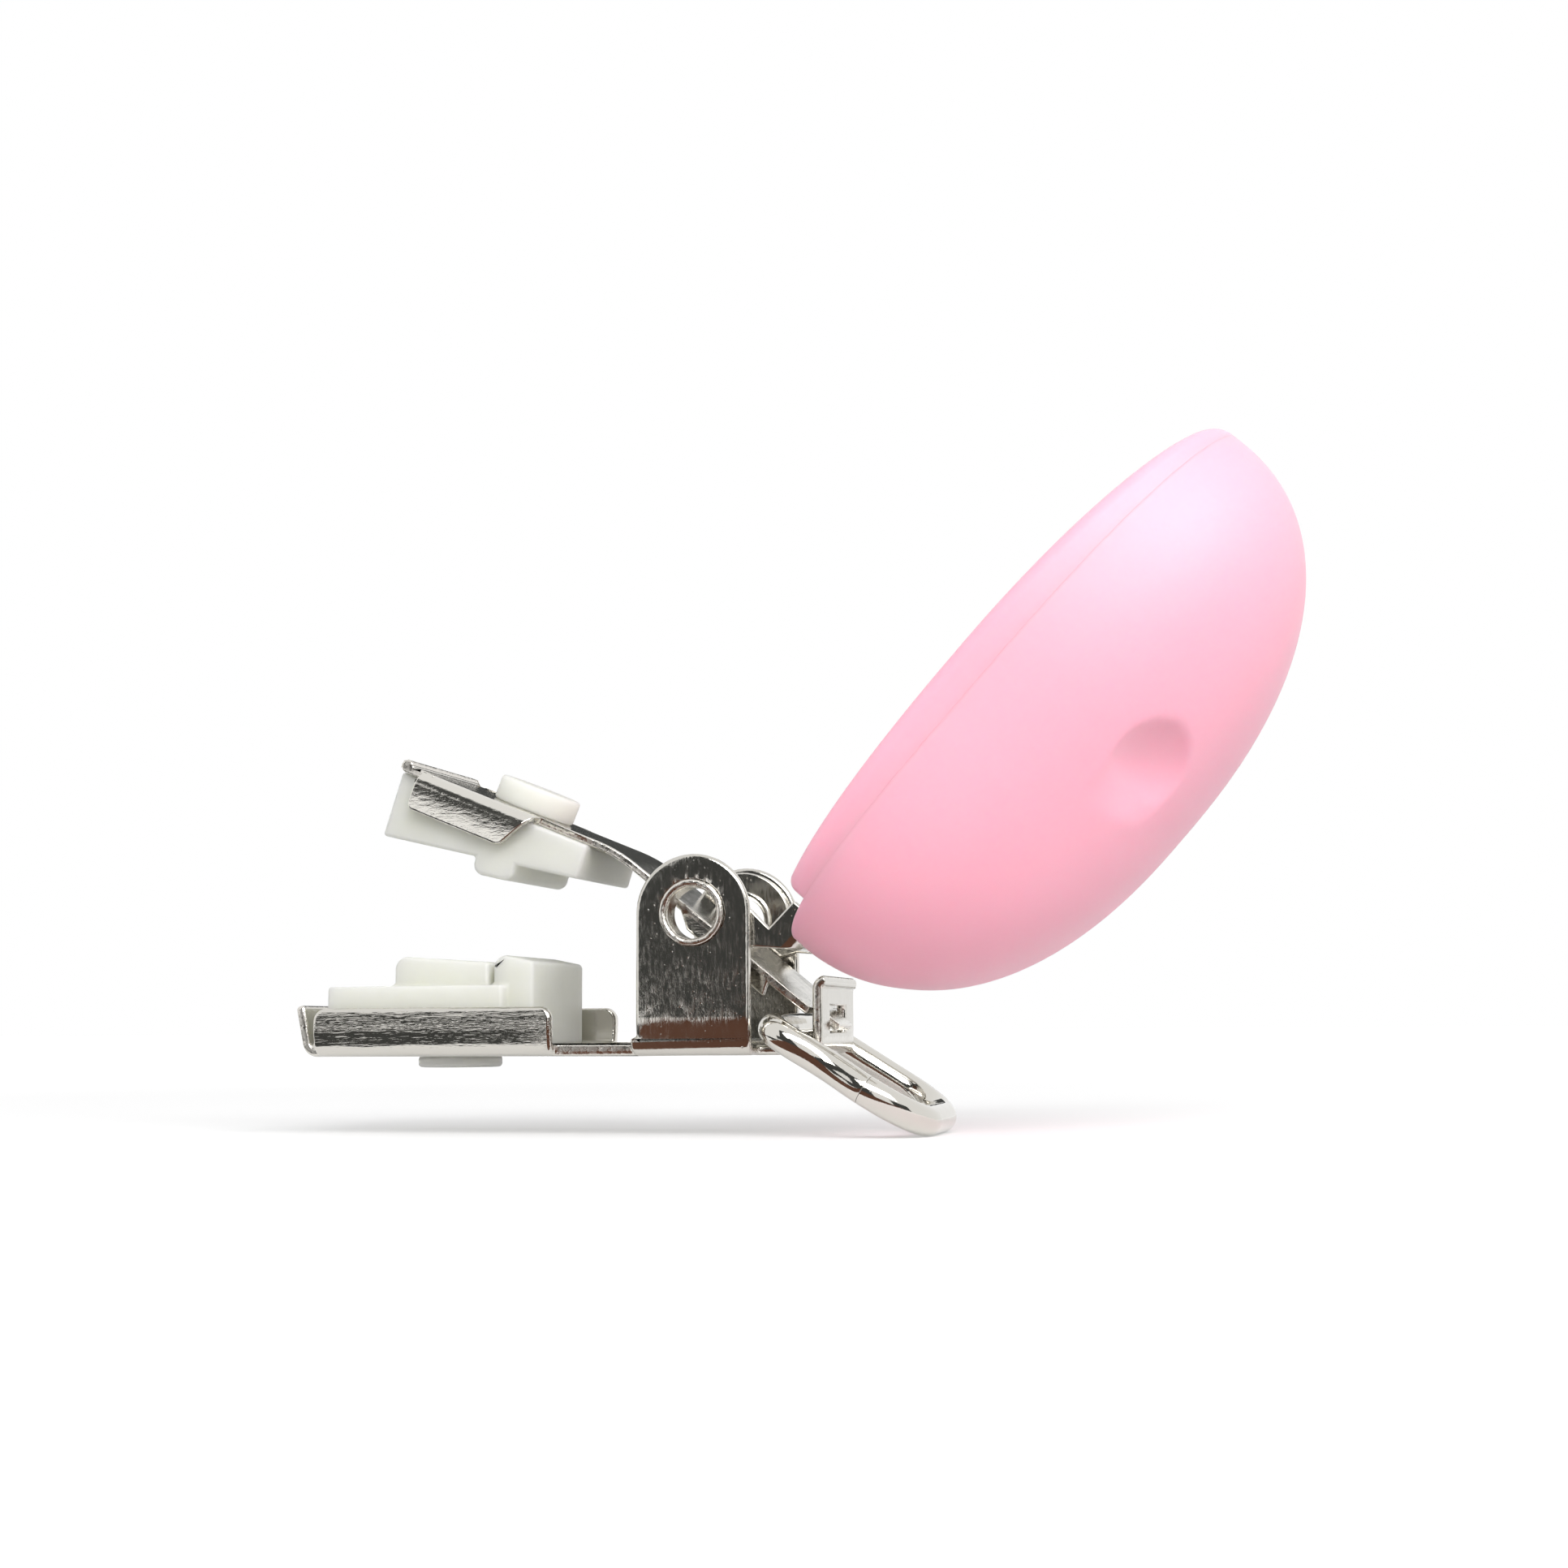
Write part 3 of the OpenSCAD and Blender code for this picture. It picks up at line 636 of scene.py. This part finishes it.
# %% [markdown]
# ## Cover
# The cover is a puffy dome with two thumb dimples, closed by a nearly flat back. A subdivided cube
# would give a puffy box, but not this outline, which is rounder in front than at the rear. So a
# circle is extruded ring by ring, and each new ring is set to its place on the dome by one
# formula. The cover is left out of what the metal mirrors, so that the wire and the lever under it
# stay neutral.

# %% Cover outline
lever_place = Matrix.Translation(pivot * MM) @ Matrix.Rotation(math.radians(-48), 4, "Y")
part_z = -5.8
cover_len, cover_w, dome_h, cover_x0 = 41.2, 26, 13.2, 2.7
cover_mid = cover_x0 + cover_len / 2
trim = 0.02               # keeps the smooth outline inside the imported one
front_square, rear_square = 2.25, 3.5     # 2 is an ellipse, and more is squarer
egg = 0.06                # makes the front narrower than the rear
puff = 2 / front_square   # the dome's profile is as square as its front
around = 240              # points round the outline


def signed_power(value, power):
    """The value's size to this power, with the value's own sign."""
    return math.copysign(abs(value) ** power, value)


def outline(j, inset=0.0):
    """Point j of the cover's outline, moved in by inset."""
    a = 2 * math.pi * j / around
    power = 2 / (rear_square if math.cos(a) < -1e-9 else front_square)
    x, y = signed_power(math.cos(a), power), signed_power(math.sin(a), power)
    return (cover_mid + (cover_len / 2 - trim - inset) * x,
            (cover_w / 2 - trim - inset) * y * (1 - egg * x))


def ring_by_ring(name, rings):
    """Extrudes a circle once for each ring of points and sets every new point to its place."""
    bpy.ops.object.select_all(action="DESELECT")
    bpy.ops.mesh.primitive_circle_add(vertices=around, radius=cover_w / 2 * MM)
    made = bpy.context.object
    made.name = name
    edit_all(made)
    step = 0.2
    for _ in rings[1:]:
        bpy.ops.mesh.extrude_region_move(TRANSFORM_OT_translate={"value": (0, 0, -step * MM)})
    bpy.ops.object.mode_set(mode="OBJECT")
    for v in made.data.vertices:
        level = round(-v.co.z / (step * MM))
        j = round(math.atan2(v.co.y, v.co.x) / (2 * math.pi) * around) % around
        v.co = Vector(rings[level][j]) * MM
    return made


def close_end(piece, level_z_mm, tolerance_mm=0.01):
    """Fills the open loop at this height in the piece's own frame with a fan of triangles."""
    points = piece.data.vertices
    for v in points:
        v.select = abs(v.co.z - level_z_mm * MM) < tolerance_mm * MM
    for e in piece.data.edges:
        e.select = all(points[v].select for v in e.vertices)
    for polygon in piece.data.polygons:
        polygon.select = False
    select_only(piece)
    bpy.ops.object.mode_set(mode="EDIT")
    bpy.ops.mesh.edge_face_add()
    bpy.ops.mesh.poke()
    bpy.ops.mesh.select_all(action="SELECT")
    bpy.ops.mesh.normals_make_consistent(inside=False)
    bpy.ops.object.mode_set(mode="OBJECT")


print("cover outline in mm:", [round(size - 2 * trim, 2) for size in (cover_len, cover_w)])

# %% [markdown]
# ### Dome and dimples
# A thumb dimple is part of a ball pressed into the dome. Points of the dome that lie outside the
# ball's dish are moved down onto it along the dimple's own axis, and a soft maximum rounds the
# rim as a mould does. The inside follows the same formula one wall further in, and is drawn
# first, from its top down to the lip. Two posts are joined inside for the back to snap on, and a
# slot is cut for the lever.

# %% Dome
wall, inner_soft = 1.6, 0.25
levels, inner_levels = 84, 36
spacing = 1.1             # crowds the rings a little towards the lip
top_angle = math.radians(88.8)
edge_inset, edge_drop = 0.012, 0.04
lip_rises = (0, 0.02, 0.04, 0.12)
dimple_at, dimple_r, dimple_depth, dimple_stretch = (0.07, 0.69), 3.3, 1.1, 1.05
dimple_reach = dimple_r * 1.4
lift = (1 - dimple_at[0] ** front_square - dimple_at[1] ** front_square) ** (1 / front_square)
dimple_tilt = math.atan((dimple_at[1] ** (front_square - 1) / (cover_w / 2))
                        / (lift ** (front_square - 1) / dome_h))
ball_r = (dimple_r ** 2 + dimple_depth ** 2) / (2 * dimple_depth)
dimple_places = [
    Matrix.Translation((cover_mid + dimple_at[0] * cover_len / 2,
                        side * dimple_at[1] * cover_w / 2, part_z - lift * dome_h))
    @ Matrix.Rotation(side * dimple_tilt, 4, "X") for side in (-1, 1)]
dimple_backs = [m.inverted() for m in dimple_places]


def dished(point, wall=0.0, soft=0.035):
    """Moves a point of the dome down onto the dish of a dimple, with a slightly soft rim."""
    for place, back in zip(dimple_places, dimple_backs):
        p = back @ Vector(point)
        across = math.hypot(p.x, p.y / dimple_stretch)
        if across < dimple_reach and abs(p.z) < dimple_r:
            dish_z = dimple_depth - ball_r + math.sqrt((ball_r + wall) ** 2 - across ** 2)
            gap = p.z - dish_z
            if gap < 4 * soft:
                p.z = dish_z + soft * math.log1p(math.exp(gap / soft))
                return tuple(place @ p)
    return point


def dome_ring(a, height, inset, **dish):
    """One ring of the dome, where a is a quarter turn at its top and nothing at its lip."""
    share, rise = math.cos(a) ** puff, height * math.sin(a) ** puff
    return [dished((cover_mid + (x - cover_mid) * share, y * share, part_z - rise), **dish)
            for x, y in (outline(j, inset) for j in range(around))]


inner_angles = [top_angle * (i / inner_levels) ** spacing for i in range(inner_levels, -1, -1)]
rings = [dome_ring(a, dome_h - wall, wall, wall=wall, soft=inner_soft) for a in inner_angles]
lip_angles = [math.asin((rise / dome_h) ** (1 / puff)) for rise in lip_rises]
for a in lip_angles + [top_angle * (i / levels) ** spacing for i in range(1, levels + 1)]:
    rise = (dome_h - trim) * math.sin(a) ** puff
    rings.append(dome_ring(a, dome_h - trim, edge_inset * max(0.0, 1 - rise / edge_drop)))
dome = ring_by_ring("cover_dome", rings)
close_end(dome, rings[0][0][2], tolerance_mm=0.002)
close_end(dome, rings[-1][0][2], tolerance_mm=0.002)
print("dome points:", len(dome.data.vertices))

# %% Posts and slot
post_r, post_x, back_t = 1.5, (13, 29), 2.2
post_sink = 0.4           # a post starts this far inside the dome's outer face
slot_half, slot_front, slot_top, slot_cut = 5.95, 9.4, part_z - 0.75, 4


def combine(piece, tool, operation):
    """Joins the tool to the piece, or cuts it away, and removes the tool."""
    apply_modifier(piece, "BOOLEAN", object=tool, operation=operation, solver="EXACT")
    bpy.data.objects.remove(tool)


def post(x_mm, z0_mm, z1_mm, radius_mm):
    """A round post on the cover's middle line, between two heights."""
    bpy.ops.object.select_all(action="DESELECT")
    bpy.ops.mesh.primitive_cylinder_add(
        vertices=48, radius=radius_mm * MM, depth=(z1_mm - z0_mm) * MM,
        location=(x_mm * MM, 0, (z0_mm + z1_mm) / 2 * MM))
    return bpy.context.object


def roof(x):
    """Height of the dome over its lip, on its middle line."""
    share = abs(x - cover_mid) / (cover_len / 2)
    return dome_h * (1 - share ** front_square) ** (1 / front_square)


def finish_cover(piece, node):
    """Moves a part of the cover from the lever's own frame to its place, and shades it."""
    piece.data.transform(lever_place)
    piece.data.materials.clear()
    piece.data.materials.append(soft_pink)
    piece.visible_glossy = False
    select_only(piece)
    bpy.ops.object.shade_smooth_by_angle(angle=math.radians(40))
    place_on_clip(piece, "lever", "soft_pink", node)


for x in post_x:
    lowest = min(roof(x - post_r), roof(x + post_r)) - post_sink
    combine(dome, post(x, part_z - lowest, part_z + back_t / 2, post_r), "UNION")
bpy.ops.object.select_all(action="DESELECT")
bpy.ops.mesh.primitive_cube_add(
    size=MM, location=(slot_front / 2 * MM, 0, (slot_top + slot_cut / 2) * MM),
    scale=(slot_front, 2 * slot_half, slot_cut))
combine(dome, bpy.context.object, "DIFFERENCE")
finish_cover(dome, "cover_front_shell")

# %% [markdown]
# ### Back of the cover
# The back is a thin plate with a soft edge that closes the dome over the lever's tongue. Its ends
# rise a little towards the dome, and its rear stops short so that the lever can leave. Two sockets
# take the posts.

# %% Back
back_inset, back_bow, edge_r, edge_rise = 3.1, 1.0, 0.65, 0.85
edge_steps, socket_gap = 12, 0.02
fill_shares = (0.85, 0.7, 0.5, 0.3, 0.1)


def back_outline(j, inset, share):
    """Point j of the back's outline, moved in by inset and drawn towards its middle by share."""
    x, y = outline(j, inset)
    x = max(x, cover_x0 + back_inset + inset)
    return cover_mid + (x - cover_mid) * share, y * share


def back_height(x):
    """Height of the back's outer face, which comes nearer to the dome at both ends."""
    return part_z + back_t - back_bow * ((x - cover_mid) / (cover_len / 2)) ** 2


rings = [[(*back_outline(j, edge_inset, 1), part_z) for j in range(around)],
         [(*back_outline(j, 0, 1), part_z + edge_drop) for j in range(around)]]
for k in range(edge_steps + 1):
    a = math.pi / 2 * k / edge_steps
    edge = [back_outline(j, edge_r * (1 - math.cos(a)), 1) for j in range(around)]
    rings.append([(x, y, back_height(x) - edge_rise * (1 - math.sin(a))) for x, y in edge])
for share in fill_shares:
    rings.append([(x, y, back_height(x)) for x, y in (
        back_outline(j, edge_r, share) for j in range(around))])
back = ring_by_ring("cover_back", rings)
close_end(back, part_z)
close_end(back, part_z + back_t, tolerance_mm=0.02)
for x in post_x:
    combine(back, post(x, part_z - 1, part_z + back_t / 2, post_r + socket_gap),
            "DIFFERENCE")
finish_cover(back, "cover_back_plate")

# %% [markdown]
# ## Floor, backdrop and light
# The clip stands on a white table in front of a white backdrop. One broad soft light hangs above
# and in front, and the room fills the rest. The table glows only for rays that come straight from
# the camera, off metal or through plastic, so it looks white and still takes the clip's shadow.


# %% Table
def seen_directly(tree):
    """1 for rays from the camera, off metal or through plastic, and 0 for the rest."""
    path = add_node(tree, "ShaderNodeLightPath")
    shine = add_node(tree, "ShaderNodeMath", {
        0: path.outputs["Is Camera Ray"], 1: path.outputs["Is Glossy Ray"]}, operation="MAXIMUM")
    return add_node(tree, "ShaderNodeMath", {
        0: shine.outputs[0], 1: path.outputs["Is Transmission Ray"]},
        operation="MAXIMUM").outputs[0]


def plane(name, size, location, scale=(1, 1, 1), facing=None):
    """A flat sheet of the set: not part of the clip."""
    bpy.ops.object.select_all(action="DESELECT")
    bpy.ops.mesh.primitive_plane_add(size=size, location=location)
    made = bpy.context.object
    made.name = name
    made.scale = scale
    if facing is not None:
        made.rotation_euler = facing.to_track_quat("Z", "Y").to_euler()
    return made


table_z, table_size = cad_low.z, 12
shadow_from, shadow_to, near_glow = 0.05, 0.25, 0.34
table = plane("white_table", table_size, (0, 0, table_z))
paper, tree, place = new_material("white_table_paper")
from_clip = add_node(tree, "ShaderNodeVectorMath", {0: place}, operation="LENGTH")
near_share = add_node(tree, "ShaderNodeMapRange", {
    "Value": from_clip.outputs["Value"], "From Min": shadow_from, "From Max": shadow_to,
    "To Min": 1.0, "To Max": 0.0}, interpolation_type="SMOOTHSTEP")
level = add_node(tree, "ShaderNodeMapRange", {
    "Value": near_share.outputs["Result"], "To Min": 1.0, "To Max": near_glow})
glow = add_node(tree, "ShaderNodeMath", {
    0: seen_directly(tree), 1: level.outputs["Result"]}, operation="MULTIPLY")
grey = add_node(tree, "ShaderNodeMix", {
    "Factor": near_share.outputs["Result"], "A": linear("#606060"), "B": linear("#c9c9c9")},
    data_type="RGBA")
diffuse = add_node(tree, "ShaderNodeBsdfDiffuse", {"Color": grey.outputs["Result"]})
emission = add_node(tree, "ShaderNodeEmission", {
    "Color": linear("#ffffff"), "Strength": glow.outputs[0]})
both = add_node(tree, "ShaderNodeAddShader", {0: diffuse.outputs[0], 1: emission.outputs[0]})
add_node(tree, "ShaderNodeOutputMaterial", {"Surface": both.outputs[0]})
table.data.materials.append(paper)
print("table height in mm:", round(table_z / MM, 2))

# %% Room
room_light, room_seen = 0.74, 1.0
world = bpy.data.worlds.new("white_room")
bpy.context.scene.world = world
world.use_nodes = True
tree = world.node_tree
tree.nodes.clear()
level = add_node(tree, "ShaderNodeMapRange", {
    "Value": seen_directly(tree), "To Min": room_light, "To Max": room_seen})
room = add_node(tree, "ShaderNodeBackground", {
    "Color": linear("#ffffff"), "Strength": level.outputs["Result"]})
add_node(tree, "ShaderNodeOutputWorld", {"Surface": room.outputs[0]})
print("room lights the clip at", room_light, "and is seen at", room_seen)

# %% Soft light
light_from = Vector((0.5, -0.7, 0.66)).normalized()
clip_middle = Vector((0.01, 0, 0.02))
light_away, light_size, light_power = 0.35, (0.42, 0.16), 1.4
bpy.ops.object.light_add(type="AREA", location=clip_middle + light_from * light_away)
softbox = bpy.context.object
softbox.name = "softbox_above"
softbox.data.shape = "RECTANGLE"
softbox.data.size, softbox.data.size_y = light_size
softbox.data.energy = light_power
softbox.rotation_euler = light_from.to_track_quat("Z", "Y").to_euler()
print(softbox.name, "of", light_power, "W at", [round(c, 2) for c in softbox.location], "m")

# %% [markdown]
# ### Something for the metal to mirror
# Bright metal has no colour of its own. In a wholly white room it would look like paper, so dark
# things are set round it. Four dark cards stand about the clip, and a sheet of dark wood and a
# dark strip lie on the near half of the table. All six are seen only in reflections.


# %% Dark cards and wooden bench
def only_mirrored(piece):
    """Hides the piece from all rays but those that come off metal or another shiny face."""
    piece.visible_camera = False
    piece.visible_diffuse = False
    piece.visible_shadow = False
    piece.visible_transmission = False
    piece.visible_volume_scatter = False


def card_material(name, dark, light, size_mm, stretch=(1, 1, 1)):
    """An even tone between dark and light, with a large soft grain."""
    made, tree, place = new_material(name)
    along = add_node(tree, "ShaderNodeMapping", {"Vector": place, "Scale": stretch})
    noise = add_node(tree, "ShaderNodeTexNoise", {
        "Vector": along.outputs["Vector"], "Scale": per_metre(size_mm), "Detail": 2.0})
    tone = add_node(tree, "ShaderNodeMix", {
        "Factor": noise.outputs["Fac"], "A": linear(dark), "B": linear(light)},
        data_type="RGBA")
    emission = add_node(tree, "ShaderNodeEmission", {"Color": tone.outputs["Result"]})
    add_node(tree, "ShaderNodeOutputMaterial", {"Surface": emission.outputs[0]})
    return made


card_paper = card_material("dark_card_paper", "#303131", "#5a5b59", size_mm=60)
wood = card_material("dark_wood", "#4a3027", "#7d5c4d", size_mm=30, stretch=(1, 0.2, 1))
above_table = 0.1 * MM
mirrored = []
for name, place, size in (
    ("tall_dark_card", (-0.035, -0.5, 0.345), (0.33, 0.7, 1)),
    ("low_dark_card", (-0.275, -0.5, 0.075), (0.15, 0.16, 1)),
    ("dark_card_behind", (-0.15, 0.4, 0.12), (0.24, 0.25, 1)),
    ("dark_card_aside", (0.5, -0.22, 0.085), (0.34, 0.18, 1)),
):
    card = plane(name, 1, place, scale=size, facing=Vector((-place[0], -place[1], 0)))
    card.data.materials.append(card_paper)
    only_mirrored(card)
    mirrored.append(name)
bench_turn = Matrix.Rotation(-view_turn, 4, "Z")
for name, side, front, size, paper in (
    ("dark_bench", 0.241, -0.5095, (0.5, 1, 1), wood),
    ("dark_strip", -0.05, -0.045, (0.08, 0.05, 1), card_paper),
):
    sheet = plane(name, 1, bench_turn @ Vector((side, front, 0)) + Vector(
        (0, 0, table_z + above_table)), scale=size)
    sheet.rotation_euler = bench_turn.to_euler()
    sheet.data.materials.append(paper)
    only_mirrored(sheet)
    mirrored.append(name)
print("seen only in reflections:", *mirrored)
